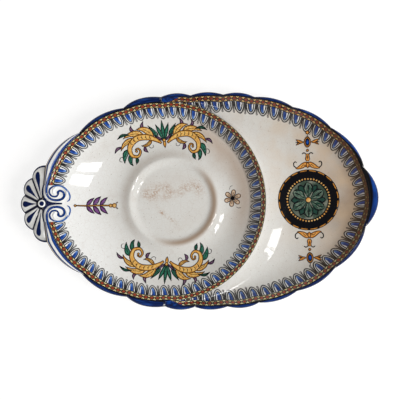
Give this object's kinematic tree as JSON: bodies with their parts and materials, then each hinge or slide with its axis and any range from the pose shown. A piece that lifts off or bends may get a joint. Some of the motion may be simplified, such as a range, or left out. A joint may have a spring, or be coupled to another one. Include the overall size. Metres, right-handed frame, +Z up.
{
  "type": "cup-and-cake plate",
  "caption": "Oval scalloped plate with a ringed saucer for a cup, a crescent dish beside it and a fluted shell handle between two scrolls.",
  "frame": {"origin": "middle of the plate's length and width, on the table under the feet", "axes": "+X along the plate from the shell handle to the side dish, +Z up out of the dish, +Y across"},
  "size_m": [0.2678, 0.1632, 0.0232],
  "materials": {
    "glazed_body": "gloss",
    "blue_edge": "gloss",
    "scroll_glaze": "gloss",
    "shell_glaze": "gloss",
    "boss_glaze": "gloss",
    "bare_clay": "matte"
  },
  "bodies": {
    "root": {"cup_well": "glazed_body", "saucer_wall": "glazed_body", "side_dish": "glazed_body", "dish_edge": "blue_edge", "upper_lobes": "blue_edge", "lower_lobes": "blue_edge", "upper_scroll": "scroll_glaze", "lower_scroll": "scroll_glaze", "shell_handle": "shell_glaze", "shell_boss": "boss_glaze", "saucer_foot": "bare_clay", "dish_foot": "bare_clay"}
  },
  "joints": []
}
